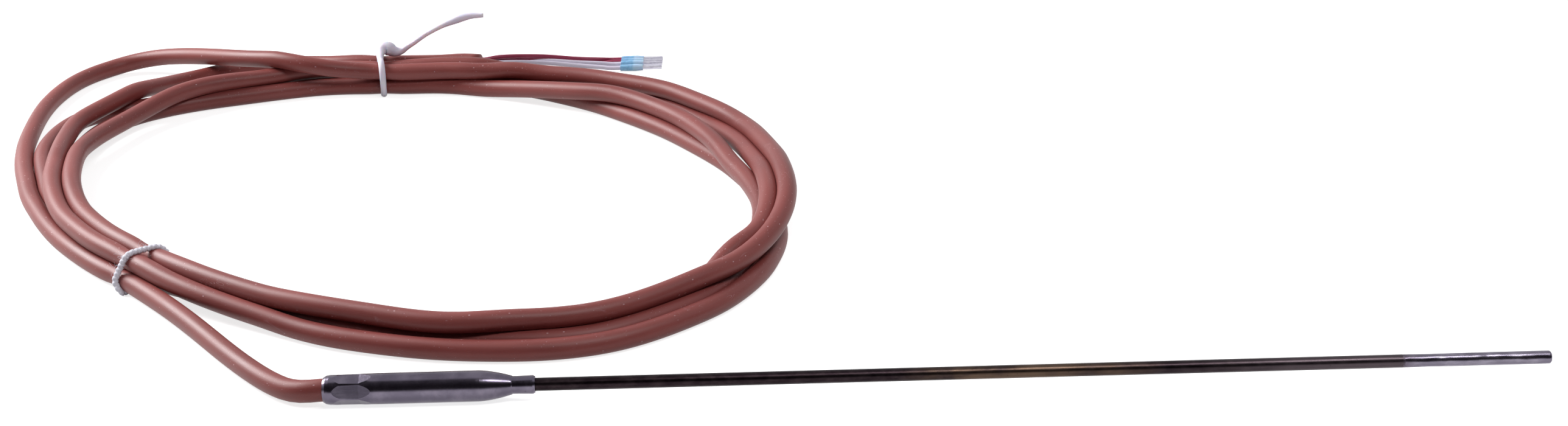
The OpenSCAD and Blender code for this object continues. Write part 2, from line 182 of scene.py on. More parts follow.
# Stations of each turn, in the order that the cable runs: angle from +X in degrees,
# distance from the coil's centre and height above the floor.
TURNS = [
    [(222, 85.6, 2.9), (210, 88, 2.7), (195, 94, 2.6), (180, 103, 2.6), (165, 118, 2.6),
     (158, 127, 2.6), (150, 139, 2.6), (145, 147, 2.6), (140, 154, 2.6), (136, 157, 2.8),
     (133, 157, 3.6), (130, 150.3, 5.5), (128, 139.5, 7.5), (126, 128.5, 9), (124, 117, 10.5),
     (122, 108.8, 11.5), (120, 102, 12), (118, 97.5, 12.1), (116, 94.5, 11.6), (114, 92.5, 10.9),
     (112, 91.5, 10.2), (110, 91, 9.6), (106, 90, 8.7), (101, 88, 8.1), (96, 87, 7.8),
     (90, 86.4, 7.7), (75, 87.1, 7.5), (60, 89.7, 7.6), (45, 92.4, 7.6), (35, 93.7, 7.7),
     (23, 95.3, 7.9), (14, 96.4, 8.6), (5, 97.7, 10.4), (357, 100.4, 12), (351, 103.2, 13),
     (346, 106.4, 13.4), (341, 110, 13), (336, 113, 11.8), (331, 114.8, 10.2), (325, 115.3, 8.6),
     (318, 114.8, 7.5), (310, 113.6, 7.1), (300, 112, 7), (285, 105, 7), (270, 93, 7.1),
     (255, 84.8, 7.1), (240, 80.8, 7.1), (230, 79.2, 7)],
    [(222, 78.4, 7), (210, 82, 7), (195, 87.2, 7.1), (180, 93.4, 7.1), (172, 96.8, 7.1),
     (165, 100, 6.8), (157, 103, 6.3), (150, 105, 5.9), (145, 106.5, 6.2), (139, 107.5, 6.9),
     (133, 106, 7.1), (129, 104.5, 7.1), (124, 103.4, 7.1), (120, 102.6, 7.1), (116, 101.4, 7.1),
     (112, 99.8, 7.1), (108, 97.8, 7.2), (104, 95.3, 7.3), (100, 93.3, 7.3), (90, 91.5, 7.4),
     (75, 92, 5.4), (60, 92.5, 3.8), (45, 93, 3), (30, 93, 4), (15, 94, 6.6), (5, 95.5, 8.4),
     (357, 97.8, 10), (352, 100.2, 11.2), (347, 102.6, 11.6), (342, 105.5, 11.2),
     (337, 108, 10.2), (333, 109.5, 8.6), (329, 110, 6.6), (325, 110, 4.6), (320, 110, 3),
     (315, 110, 2.6), (300, 109.5, 2.6), (285, 99, 2.6), (270, 87.5, 2.6), (255, 77.8, 2.6),
     (240, 74.6, 2.6), (230, 75, 2.8)],
    [(222, 76, 2.9), (210, 77.6, 2.7), (195, 83.4, 2.6), (180, 92.5, 2.6), (170, 99.5, 2.6),
     (166, 102.5, 2.6), (162, 105, 2.6), (156, 108.5, 2.6), (152, 110.5, 2.6), (148, 111.8, 2.6),
     (145, 112, 2.6), (143, 111.5, 2.6), (137, 108.4, 2.6), (131, 104.8, 2.6), (123, 100, 2.6),
     (115, 96.8, 2.6), (108, 93.2, 2.8), (102, 89.5, 3.1), (90, 87, 3.2), (82, 84.5, 3),
     (75, 81.5, 4.2), (60, 78.5, 6.6), (45, 80.5, 7.3), (30, 82.5, 7.4), (18, 84.3, 7.4),
     (9, 86.8, 7.4), (0, 89.8, 7.3), (353, 94.8, 7.4), (348, 98.8, 7.6), (343, 102.8, 7.4),
     (338, 106.3, 6.2), (333, 109, 4.2), (328, 110.9, 2.8), (315, 115.7, 2.6), (300, 115.3, 2.6),
     (285, 104.4, 2.6), (270, 92.7, 2.6), (255, 82.8, 2.6), (240, 79.7, 2.6), (230, 80.3, 2.8)],
    [(222, 80.9, 2.9), (210, 82.8, 2.7), (195, 88.6, 2.6), (180, 97.7, 2.6), (170, 107, 2.6),
     (165, 112.5, 2.6), (162, 115.5, 2.6), (157, 119.8, 2.6), (153, 122.5, 2.6),
     (150, 123.8, 2.6), (147, 123.5, 2.6), (144, 120.5, 2.6), (141, 117, 2.6), (137, 113.8, 2.6),
     (131, 110.2, 2.6), (123, 105.8, 2.6), (115, 103, 2.6), (108, 100.4, 2.6), (102, 96.4, 2.9),
     (97, 94, 3.1), (90, 92, 2.8), (75, 86.5, 2.6), (60, 81.8, 2.6), (45, 80, 2.6),
     (35, 80.5, 2.6), (28, 81.6, 2.6), (18, 84.1, 2.6), (9, 88, 2.6), (1, 92.6, 2.6),
     (356, 96, 2.6), (351, 99.6, 2.6), (346, 103.5, 2.6), (341, 107.3, 2.6), (336, 110.6, 2.6),
     (331, 113.5, 2.6), (327, 115.7, 2.6), (323, 117.6, 2.6), (315, 121, 2.6), (300, 120.5, 2.6),
     (285, 109.6, 2.6), (270, 98, 2.6), (262, 92.6, 3.1), (255, 88.6, 4.1), (247, 85.8, 5.3),
     (240, 84.4, 6.2), (230, 83.4, 6.9)],
    [(222, 83.5, 7), (210, 85.6, 7.1), (195, 88.7, 7.1), (180, 95.3, 7.1), (165, 105.3, 7.1),
     (158, 111.6, 7.1), (154, 115, 7.2), (150, 116.1, 7.4), (146, 117, 7.7), (141, 118.6, 7.7),
     (137, 121.6, 6.4), (134, 124.3, 5), (131, 127.2, 3.8), (127, 128.5, 3.1), (123, 129, 3.3),
     (120, 126.6, 3.8), (117, 121, 4.6), (114, 113.6, 5.8), (111, 107, 6.8), (107, 102, 7.3),
     (103, 98.9, 7.5), (99, 97, 7.5), (94, 96.2, 7.4)]]

CABLE_STEP = 2.5
TIE_ANGLES = (222, 102)     # where the braided tie and the strap close round the turns
BUNDLE = (60, 105)          # the turns there lie between these distances from the centre
NIP_DEPTH = 0.1             # share of the jacket's radius that a tie nips in
NIP_REACH = 3.5             # how far along the jacket that fades

SETTLE_STEPS = 500
SEEK_EVERY = 10             # steps between searches for turns that touch
SEEK_GAP = 1.5              # the search takes in turns this far from touching
NEIGHBOURS = 8              # points nearer than this along the cable don't push each other
SINK, RETURN, STIFFNESS, PUSH = 0.008, 0.015, 0.06, 0.3             # at each step
HELD_AT_SLEEVE, HELD_AT_END = 6, 3                                  # points that stay put


def heading(angle):
    """Plan directions out from the coil's centre at an angle, and square to that."""
    a = math.radians(angle)
    return np.array([math.cos(a), math.sin(a)]), np.array([-math.sin(a), math.cos(a)])


def on_coil(angle, radius, height):
    out, _ = heading(angle)
    return (*(COIL_CENTRE + radius * out), FLOOR + height)


def girth(line):
    """The jacket's radius at each point: a little less where a tie nips it in."""
    plan = line[:, :2] - COIL_CENTRE
    radius = np.full(len(line), CABLE_D / 2)
    for angle in TIE_ANGLES:
        out_way, past_way = heading(angle)
        out, past = plan @ out_way, plan @ past_way
        inside = (out > BUNDLE[0]) & (out < BUNDLE[1])
        radius *= 1 - NIP_DEPTH * np.exp(-(past / NIP_REACH) ** 2) * inside
    return radius


def laid_cable():
    """The cable's centre line, after its turns have pushed each other apart and sunk."""
    route = LEAD_ROUTE + [on_coil(*station) for turn in TURNS for station in turn]
    line = smooth_run(route + END_ROUTE, CABLE_STEP)
    drawn = line.copy()
    free = np.ones((len(line), 1))
    free[:HELD_AT_SLEEVE] = 0
    free[-HELD_AT_END:] = 0
    for step in range(SETTLE_STEPS):
        if step % SEEK_EVERY == 0:
            gap = np.linalg.norm(line[:, None] - line[None], axis=2)
            i, j = np.nonzero(np.triu(gap < CABLE_D + SEEK_GAP, NEIGHBOURS))
            radius = girth(line)
        line[:, 2] -= SINK * free[:, 0]
        line += RETURN * (drawn - line) * free
        bend = np.zeros_like(line)
        bend[1:-1] = line[:-2] + line[2:] - 2 * line[1:-1]
        unbend = np.zeros_like(line)
        unbend[1:-1] = bend[:-2] + bend[2:] - 2 * bend[1:-1]
        line -= STIFFNESS * unbend * free
        between = line[i] - line[j]
        far = np.linalg.norm(between, axis=1)
        push = PUSH * np.clip(radius[i] + radius[j] - far, 0, None) / np.maximum(far, 0.01)
        shove = between * push[:, None]
        np.add.at(line, i, shove * free[i])
        np.add.at(line, j, -shove * free[j])
        line[:, 2] = np.maximum(line[:, 2], FLOOR + CABLE_D / 2)
    return spaced(line, CABLE_STEP)


cable_line = laid_cable()
cable = add_tube("cable", cable_line, girth(cable_line))

# ---- cores ---------------------------------------------------------------------------------

CORE_D = 1.35
CORE_STEP = 0.8
CORE_NAMES = ("core_red_1", "core_white_1", "core_white_2", "core_red_2")
CORE_RING = CORE_D / math.sqrt(2) + 0.05            # the four lie in a square in the jacket
CORE_LEAVES = (90, 180, 270, 0)                     # place of each core in that square
CORE_MIDDLE = (
    ((-31, 223.2, 4.8), (-25, 226.3, 3.9), (-17, 231.4, 1.9), (-8, 235.7, -0.5), (0, 238.2, -1.8)),
    ((-31, 221.7, 3.5), (-25, 224, 2.7), (-17, 227.9, 0.9), (-8, 230.8, -1.1), (0, 231.2, -2.1)),
    ((-31, 223, 2.1), (-25, 226, 1.6), (-17, 230, 0.9), (-8, 233.1, -0.9), (0, 234.8, -2)),
    ((-31, 224.6, 3.4), (-25, 227.8, 2.4), (-17, 232.6, 0.1), (-8, 235.9, -2.2), (0, 236.8, -2.6)))
FERRULE_X = 6                                       # where the ferrules' collars start
FERRULE_Y = (239.6, 231, 235, 237.3)
FERRULE_Z = FLOOR + 1.1                             # the collars rest on the floor


def core_route(i):
    """From the cut end of the jacket into the collar of the core's ferrule."""
    (x, y, z), a = END_ROUTE[-1], math.radians(CORE_LEAVES[i])
    y, z = y + CORE_RING * math.cos(a), z + CORE_RING * math.sin(a)
    return [(x, y, z), (x + 2, y - 0.2, z), *CORE_MIDDLE[i],
            (FERRULE_X - 3, FERRULE_Y[i], FERRULE_Z), (FERRULE_X + 1, FERRULE_Y[i], FERRULE_Z)]


core_lines = [smooth_run(core_route(i), CORE_STEP) for i in range(4)]
cores = [add_tube("wire_" + name, line, CORE_D / 2, sides=16)
         for name, line in zip(CORE_NAMES, core_lines)]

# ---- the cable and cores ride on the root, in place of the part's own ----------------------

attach(cable, "root")
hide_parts("cable_lead", "cable_coil", "cable_end")
for i, (name, core, line) in enumerate(zip(CORE_NAMES, cores, core_lines), 1):
    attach(core, "root")
    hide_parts(name)

# ---- ties round the coil -------------------------------------------------------------------

ELASTIC_D = 1.5
ELASTIC_ANGLE = 222.3
ELASTIC_STEP = 0.09
RIB_PITCH = 1.15                                    # of the two crossing plaits of the braid
RIB_LOW, RIB_RISE = 0.93, 0.15                      # shares of the cord's radius
FIBRES = 60
FIBRE_PARTS = 7
FIBRE_PART_L = (0.25, 0.5)
FIBRE_CURL = 0.45                                   # how much a fibre turns at each part
FIBRE_R = (0.035, 0.02)                             # at its root and its end
NYLON_D = 1.9
NYLON_ANGLE = 102.6
OUTLINE_POINTS = 40                                 # round each jacket that a loop holds
LOOP_SLACK = 0.5                                    # how much a loop rounds its corners
LEAN_HEIGHT = 4                                     # the part of a loop below this leans
# The strap's knotted hump and its free tail: place, and thickness there.
NYLON_TAIL = [
    (-66.5, 213.6, 7.4, 1.9), (-67, 217, 8, 2.1), (-67.1, 219.5, 8.6, 2.7), (-66.4, 221, 9.3, 4),
    (-64.9, 221.5, 9, 4.4), (-63.1, 221.8, 8, 3.3), (-61.1, 222, 8.1, 2.2),
    (-59.4, 222.1, 9.2, 1.8), (-57, 222.3, 10.6, 1.6), (-53, 222.6, 13.2, 1.6),
    (-48, 222.8, 15.7, 1.8), (-43, 223, 17.6, 2.6), (-39, 223, 18.5, 2), (-35, 223, 18.6, 1.4)]
TIE_STEP = 0.5


def hull(points):
    """Outline of the points in a plane, as a taut string would lie."""
    points = sorted(map(tuple, points))
    rim = []
    for run in (points, points[::-1]):
        part = []
        for p in run:
            while len(part) > 1 and ((part[-1][0] - part[-2][0]) * (p[1] - part[-2][1])
                                     <= (part[-1][1] - part[-2][1]) * (p[0] - part[-2][0])):
                part.pop()
            part.append(p)
        rim += part[:-1]
    return np.array(rim)


def bundle_loop(angle, thick, step, slip=0.0, swing=0.0, lean=0.0):
    """A taut loop round the turns where they cross this angle of the coil. It is slipped
    along them, swung about its middle, and its underside leans along them."""
    out_way, past_way = heading(angle)
    plan = cable_line[:, :2] - COIL_CENTRE
    out, past = plan @ out_way, plan @ past_way
    radius = girth(cable_line)
    turn = np.linspace(0, 2 * np.pi, OUTLINE_POINTS, endpoint=False)
    ring = np.c_[np.cos(turn), np.sin(turn)]
    rims = []
    for i in range(len(cable_line) - 1):
        if past[i] * past[i + 1] <= 0 and BUNDLE[0] < out[i] < BUNDLE[1]:
            share = past[i] / (past[i] - past[i + 1])
            middle = [out[i] + share * (out[i + 1] - out[i]),
                      cable_line[i, 2] + share * (cable_line[i + 1, 2] - cable_line[i, 2])]
            rims.append(middle + (radius[i] + thick / 2) * ring)
    rim = hull(np.vstack(rims))
    rim = np.roll(rim, -int(np.argmin(rim[:, 1])), axis=0)
    rim = spaced(np.vstack([rim, rim[:1]]), step)
    for _ in range(round(LOOP_SLACK / step ** 2)):
        rim[1:-1] += 0.25 * (rim[:-2] + rim[2:] - 2 * rim[1:-1])
    height = np.maximum(rim[:, 1], FLOOR + thick / 2)
    slide = (slip + swing * (rim[:, 0].mean() - rim[:, 0])
             + lean * np.clip(1 - (height - FLOOR) / LEAN_HEIGHT, 0, 1) ** 1.5)
    return np.c_[COIL_CENTRE + rim[:, :1] * out_way + slide[:, None] * past_way, height]


def add_elastic_loop(line):
    """Braided cord: two crossing waves of ribs run round it."""
    run = ELASTIC_STEP * np.arange(len(line))[:, None]
    turn = 2 * np.pi * np.arange(TUBE_SIDES) / TUBE_SIDES
    left = np.sin(2 * np.pi * run / RIB_PITCH + turn)
    right = np.sin(2 * np.pi * run / RIB_PITCH - turn + 1)
    radius = ELASTIC_D / 2 * (RIB_LOW + RIB_RISE * np.maximum(left, right))
    return add_tube("elastic_loop", line, radius)


def add_elastic_fibres(line):
    """Loose fibres that stand off the braid. None starts near the loop's underside."""
    rng = np.random.default_rng(7)
    c, s = circle(3)
    thin = np.linspace(*FIBRE_R, FIBRE_PARTS + 1)[:, None, None]
    verts, faces = [], []
    for _ in range(FIBRES):
        at = line[rng.integers(len(line) // 8, 7 * len(line) // 8)]
        way = rng.normal(size=3)
        way[2] = abs(way[2])
        way /= np.linalg.norm(way)
        points = [at + way * ELASTIC_D * 0.4]
        for _ in range(FIBRE_PARTS):
            way = way + rng.normal(size=3) * FIBRE_CURL
            way /= np.linalg.norm(way)
            points.append(points[-1] + way * rng.uniform(*FIBRE_PART_L))
        points = np.array(points)
        points[:, 2] = np.maximum(points[:, 2], FLOOR + 0.05)
        a, b = across(points)
        faces += ring_faces(len(points), 3, first=len(verts))
        verts += list((points[:, None] + thin * (c * a[:, None] + s * b[:, None])).reshape(-1, 3))
    return add_mesh("elastic_fibres", verts, faces, skin=verts)


elastic_line = bundle_loop(ELASTIC_ANGLE, ELASTIC_D, ELASTIC_STEP, slip=3.8, swing=0.17, lean=3)
elastic_loop = add_elastic_loop(elastic_line)
elastic_fibres = add_elastic_fibres(elastic_line)
nylon_strap = add_tube("nylon_strap", bundle_loop(NYLON_ANGLE, NYLON_D, TIE_STEP), NYLON_D / 2)
tail_run = smooth_run(NYLON_TAIL, TIE_STEP)
nylon_tail = add_tube("nylon_tail", tail_run[:, :3], tail_run[:, 3] / 2, sides=32)
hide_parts("elastic_tie")
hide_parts("nylon_tie")
for piece, slot_name in ((elastic_loop, "elastic"), (elastic_fibres, "elastic"),
                         (nylon_strap, "nylon"), (nylon_tail, "nylon")):
    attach(piece, "root")

# ---- shader nodes --------------------------------------------------------------------------


class Shade:
    """A shader socket. Python's operators on it add the nodes that work them out."""

    def __init__(self, tree, socket):
        self.tree, self.socket = tree, socket

    def wide(self):
        return self.socket.type in ("RGBA", "VECTOR")

    def _work(self, operation, first, second):
        if any(v.wide() if isinstance(v, Shade) else isinstance(v, tuple)
               for v in (first, second)):
            kind = "ShaderNodeVectorMath"
            first, second = ((v,) * 3 if isinstance(v, (int, float)) else v
                             for v in (first, second))
        else:
            kind = "ShaderNodeMath"
        return self.tree.node(kind, {"operation": operation}, {0: first, 1: second})

    def __add__(self, other):
        return self._work("ADD", self, other)

    def __radd__(self, other):
        return self._work("ADD", self, other)

    def __sub__(self, other):
        return self._work("SUBTRACT", self, other)

    def __rsub__(self, other):
        return self._work("SUBTRACT", other, self)

    def __mul__(self, other):
        return self._work("MULTIPLY", self, other)

    def __rmul__(self, other):
        return self._work("MULTIPLY", self, other)

    def ramp(self, low, high):
        """0 below low and 1 above high, smooth between them."""
        return self.tree.node(
            "ShaderNodeMapRange", {"interpolation_type": "SMOOTHSTEP"},
            {"Value": self, "From Min": low, "From Max": high})


class Tree:
    """The node tree of a material or a world, and the nodes that are put in it."""

    def __init__(self, owner):
        owner.use_nodes = True
        self.nodes, self.links = owner.node_tree.nodes, owner.node_tree.links

    def put(self, socket, value):
        if isinstance(value, Shade):
            self.links.new(value.socket, socket)
        elif isinstance(value, tuple) and socket.type == "RGBA":
            socket.default_value = (*value[:3], 1)
        else:
            socket.default_value = value

    def node(self, kind, settings=None, sockets=None, out=0):
        """Any node. out names the output that is wanted, or lists several of them."""
        new = self.nodes.new(kind)
        for name, value in (settings or {}).items():
            setattr(new, name, value)
        for key, value in (sockets or {}).items():
            self.put(new.inputs[key], value)
        if isinstance(out, tuple):
            return [Shade(self, new.outputs[name]) for name in out]
        return Shade(self, new.outputs[out])

    def place(self, stretch=(1, 1, 1)):
        """Place on a solid of the part in millimetres, stretched."""
        at = self.node("ShaderNodeTexCoord", out="Object")
        return at * tuple(s / MM for s in stretch)

    def skin(self, stretch=(1, 1, 1)):
        """Place on a swept piece in millimetres: across, across, along."""
        at = self.node("ShaderNodeAttribute", {"attribute_name": "skin"}, out="Vector")
        return at * tuple(float(s) for s in stretch)

    def noise(self, at, size, detail=3.0, rough=0.5, warp=0.0):
        """Cloudy values about 0.5, with features of the given size in millimetres."""
        return self.node("ShaderNodeTexNoise", {}, {
            "Vector": at, "Scale": 1 / size, "Detail": detail, "Roughness": rough,
            "Distortion": warp})

    def specks(self, at, size, share):
        """1 in small round specks that cover about the given share of the cells."""
        far, pick = self.node("ShaderNodeTexVoronoi", {"feature": "F1"},
                              {"Vector": at, "Scale": 1 / size}, out=("Distance", "Color"))
        red = self.node("ShaderNodeSeparateColor", {}, {"Color": pick})
        return (1 - far.ramp(0.12, 0.3)) * red.ramp(1 - share, 1 - 0.5 * share)

    def blend(self, factor, first, second):
        """The first colour where the factor is 0, the second where it is 1."""
        return self.node("ShaderNodeMix", {"data_type": "RGBA"},
                         {"Factor": factor, 6: first, 7: second}, out=2)

    def parts(self, vector):
        return self.node("ShaderNodeSeparateXYZ", {}, {0: vector}, out=("X", "Y", "Z"))

    def ray_kinds(self):
        """Three values: 1 for rays from the camera, off a glossy surface, through glass."""
        return self.node("ShaderNodeLightPath",
                         out=("Is Camera Ray", "Is Glossy Ray", "Is Transmission Ray"))


SOCKET_NAMES = {"specular": "Specular IOR Level"}   # where a short name stands for a socket


class Finish(Tree):
    """A material of one Principled shader, and the nodes that vary it."""

    def __init__(self, name, colour, **constants):
        self.material = bpy.data.materials.new(name)
        super().__init__(self.material)
        self.shader = self.nodes["Principled BSDF"]
        self.feed("Base Color", colour)
        for constant, value in constants.items():
            self.feed(SOCKET_NAMES.get(constant, constant.replace("_", " ").title()), value)

    def feed(self, name, value):
        self.put(self.shader.inputs[name], value)

    def bump(self, height, depth):
        """Height from 0 to 1 stands for a relief of depth millimetres."""
        self.feed("Normal", self.node("ShaderNodeBump", {},
                                      {"Height": height, "Distance": depth * MM}))


# ---- finishes ------------------------------------------------------------------------------


def srgb(red, green, blue):
    """Linear colour of a screen colour from 0 to 255."""
    return tuple(c / 12.92 if c <= 0.04045 else ((c + 0.055) / 1.055) ** 2.4
                 for c in (red / 255, green / 255, blue / 255))


def silicone_jacket():
    """Red-brown silicone with a dusty bloom, lint and fine scuffs along it."""
    f = Finish("silicone_jacket", srgb(120, 54, 49), roughness=0.4, specular=0.38)
    cloudy = f.noise(f.skin((1, 1, 0.25)), 6, 4)
    streaks = f.noise(f.skin((1, 1, 0.05)), 0.7, 3)
    fine = f.noise(f.skin((1, 1, 0.7)), 0.3, 4, 0.7)
    dust = f.specks(f.skin((1, 1, 0.7)), 0.75, 0.05)
    small_dust = f.specks(f.skin((1, 1, 0.8)), 0.45, 0.1)
    lint = 1 - f.node("ShaderNodeMath", {"operation": "ABSOLUTE"}, {
        0: f.noise(f.skin((1, 1, 0.45)), 3.2, 2, 0.4, 1.6) - 0.5}).ramp(0.002, 0.009)
    lint = lint * f.noise(f.skin((1, 1, 0.6)), 7, 2).ramp(0.63, 0.7)
    scuffs = f.noise(f.skin((1, 1, 0.3)), 4, 6, 0.75, 1.2).ramp(0.6, 0.72)
    colour = f.blend(cloudy.ramp(0.3, 0.7), srgb(115, 48, 43), srgb(132, 62, 57))
    colour = f.blend(streaks.ramp(0.4, 0.75) * 0.25, colour, srgb(134, 76, 76))
    colour = f.blend(fine.ramp(0.25, 0.75) * 0.4, colour, srgb(128, 68, 67))
    colour = f.blend((dust * 0.5 + small_dust * 0.35 + lint * 0.3 + scuffs * 0.16).ramp(-0.2, 1.0)
                     - 0.07, colour, srgb(206, 172, 176))
    f.feed("Base Color", colour)
    f.feed("Roughness", 0.3 + 0.2 * cloudy + 0.12 * fine + 0.15 * dust)
    f.bump(0.7 * fine + 0.1 * streaks + 0.5 * dust + 0.3 * small_dust + 0.4 * lint, 0.035)
    return f.material


def core_silicone(name, colour, pale):
    """Thin silicone of a core, a little dusty."""
    f = Finish(name, colour, roughness=0.38)
    cloudy = f.noise(f.skin((1, 1, 0.3)), 2.5, 4)
    dust = f.specks(f.skin(), 0.5, 0.06)
    f.feed("Base Color", f.blend(cloudy.ramp(0.3, 0.8) * 0.5 + dust * 0.3, colour, pale))
    f.feed("Roughness", 0.32 + 0.2 * cloudy)
    f.bump(f.noise(f.skin((1, 1, 0.2)), 0.4, 3), 0.02)
    return f.material


def elastic_braid():
    """Off-white braided cord with a soft sheen."""
    f = Finish("elastic_braid", srgb(222, 220, 232), roughness=0.75, sheen_weight=0.3,
               sheen_roughness=0.5)
    fibres = f.noise(f.skin(), 0.18, 4, 0.7)
    colour = f.blend(fibres.ramp(0.3, 0.75), srgb(206, 203, 218), srgb(240, 239, 246))
    f.feed("Base Color", colour)
    f.feed("Roughness", 0.65 + 0.25 * fibres)
    f.bump(fibres, 0.08)
    return f.material


def milky_nylon():
    """Half-clear white nylon with draw marks along it."""
    f = Finish("milky_nylon", srgb(226, 223, 236), roughness=0.4, subsurface_weight=0.35,
               subsurface_scale=0.002)
    cloudy = f.noise(f.skin((1, 1, 0.3)), 2.2, 4)
    marks = f.noise(f.skin((1, 1, 0.08)), 0.5, 3)
    f.feed("Base Color", f.blend(cloudy.ramp(0.3, 0.75), srgb(212, 209, 226), srgb(234, 232, 242)))
    f.feed("Roughness", 0.34 + 0.2 * marks)
    f.bump(0.6 * marks + 0.4 * cloudy, 0.05)
    return f.material


def crimped_steel():
    """Barrel, crimp and nose of the sleeve: drawn tube with fine turning lines."""
    f = Finish("crimped_steel", srgb(104, 97, 111), metallic=1.0, roughness=0.3)
    lines = f.noise(f.place((1, 0.06, 0.06)), 0.16, 3, 0.6)
    drawn = f.noise(f.place((0.03, 1, 1)), 0.5, 3, 0.6)
    cloudy = f.noise(f.place(), 5, 4, 0.6)
    stain = f.noise(f.place((0.5, 1, 1)), 2.2, 5, 0.65, 0.6)
    pits = f.specks(f.place(), 0.7, 0.05)
    colour = f.blend(cloudy.ramp(0.35, 0.7), srgb(96, 90, 104), srgb(116, 109, 123))
    colour = f.blend(stain.ramp(0.58, 0.72) * 0.35 + pits * 0.4, colour, srgb(74, 66, 76))
    f.feed("Base Color", colour)
    f.feed("Roughness", 0.11 + 0.1 * lines + 0.14 * stain)
    f.bump(0.35 * lines + 0.3 * drawn + 0.2 * stain, 0.02)
    return f.material


def heated_sheath():
    """Mineral-insulated sheath, brown-black from annealing, with straw and violet patches."""
    f = Finish("heated_sheath", srgb(56, 46, 50), metallic=1.0, roughness=0.26)
    x, _, _ = f.parts(f.place())
    patches = f.noise(f.place((0.12, 0.35, 0.35)), 2.4, 4, 0.6, 0.4)
    drawn = f.noise(f.place((0.02, 1, 1)), 0.35, 3, 0.6)
    cloudy = f.noise(f.place((0.5, 1, 1)), 1.6, 4, 0.6)
    pits = f.specks(f.place((0.7, 1, 1)), 0.5, 0.08)
    straw = (x + 26 * patches).ramp(92, 112) * (1 - (x + 26 * patches).ramp(140, 156))
    late = (x + 40 * patches).ramp(150, 215)
    colour = f.blend(cloudy.ramp(0.35, 0.7), srgb(34, 26, 30), srgb(50, 41, 44))
    colour = f.blend(late * 0.6, colour, srgb(92, 82, 87))
    colour = f.blend(straw * patches.ramp(0.3, 0.62) * 0.75, colour, srgb(96, 78, 64))
    colour = f.blend(pits * 0.5, colour, srgb(26, 20, 24))
    f.feed("Base Color", colour)
    f.feed("Roughness", 0.2 + 0.2 * cloudy + 0.06 * drawn)
    f.bump(0.5 * drawn + 0.4 * cloudy, 0.03)
    return f.material


def bright_tip():
    """Thin bright tube over the element, with shallow dents and a violet tinge at the weld."""
    f = Finish("bright_tip", srgb(132, 126, 140), metallic=1.0, roughness=0.2)
    x, _, _ = f.parts(f.place())
    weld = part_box("tip_weld")[0][0] / MM
    cloudy = f.noise(f.place((0.4, 1, 1)), 1.8, 4, 0.6)
    drawn = f.noise(f.place((0.03, 1, 1)), 0.3, 3, 0.6)
    dents = f.noise(f.place((0.4, 0.7, 0.7)), 3.2, 2, 0.4, 0.5)
    warm = 1 - (x + 3 * cloudy).ramp(weld + 1, weld + 7)
    colour = f.blend(cloudy.ramp(0.35, 0.7), srgb(114, 108, 122), srgb(140, 134, 148))
    colour = f.blend(warm * 0.8, colour, srgb(88, 78, 90))
    f.feed("Base Color", colour)
    f.feed("Roughness", 0.2 + 0.14 * cloudy)
    f.bump(dents + 0.03 * drawn, 0.45)
    return f.material


def weld_bead():
    """Rippled bead, dulled by heat."""
    f = Finish("weld_bead", srgb(120, 112, 122), metallic=1.0, roughness=0.35)
    ripples = f.noise(f.place((1, 0.4, 0.4)), 0.25, 4, 0.6)
    f.feed("Base Color", f.blend(ripples.ramp(0.3, 0.7), srgb(72, 62, 72), srgb(106, 98, 108)))
    f.feed("Roughness", 0.28 + 0.25 * ripples)
    f.bump(ripples, 0.06)
    return f.material


def blue_collar():
    """Nylon collar of a ferrule, frosted where it flares over the tube."""
    f = Finish("blue_collar", srgb(128, 178, 216), roughness=0.36, subsurface_weight=0.25,
               subsurface_scale=0.001)
    x, _, _ = f.parts(f.place())
    cloudy = f.noise(f.place(), 0.9, 4)
    frost = x.ramp(FERRULE_X + 3.6, FERRULE_X + 4.6)
    colour = f.blend(cloudy.ramp(0.3, 0.7), srgb(118, 168, 208), srgb(142, 190, 224))
    f.feed("Base Color", f.blend(frost * 0.7, colour, srgb(188, 212, 232)))
    f.feed("Roughness", 0.3 + 0.15 * cloudy + 0.15 * frost)
    f.bump(cloudy, 0.03)
    return f.material


def plated_tube():
    """Tin-plated tube of a ferrule, pressed and matt."""
    f = Finish("plated_tube", srgb(206, 204, 216), metallic=0.75, roughness=0.42)
    cloudy = f.noise(f.place((0.4, 1, 1)), 0.6, 4, 0.6)
    f.feed("Base Color", f.blend(cloudy.ramp(0.3, 0.7), srgb(192, 189, 204), srgb(216, 214, 224)))
    f.feed("Roughness", 0.34 + 0.2 * cloudy)
    f.bump(cloudy, 0.03)
    return f.material


def inner_finish(name, dark, pale, metal, rough, grain):
    """Finish of a piece inside the probe, which shows only when it is cut open."""
    f = Finish(name, pale, metallic=metal, roughness=rough)
    cloudy = f.noise(f.place(), grain, 4, 0.65)
    f.feed("Base Color", f.blend(cloudy.ramp(0.3, 0.7), dark, pale))
    f.feed("Roughness", (rough - 0.1) + 0.2 * cloudy)
    f.bump(cloudy, 0.05 * grain)
    return f.material


def dress(finish, *names):
    """Puts the finish in every slot of the named solids of the part."""
    for name in names:
        for place in bpy.data.objects[name].material_slots:
            place.material = finish


def numbered(name, count=4):
    """Names of a piece's copies, such as name_1 to name_4."""
    return [f"{name}_{i}" for i in range(1, count + 1)]


def cover(finish, *pieces):
    """Gives the finish to pieces that are made here."""
    for piece in pieces:
        piece.data.materials.append(finish)


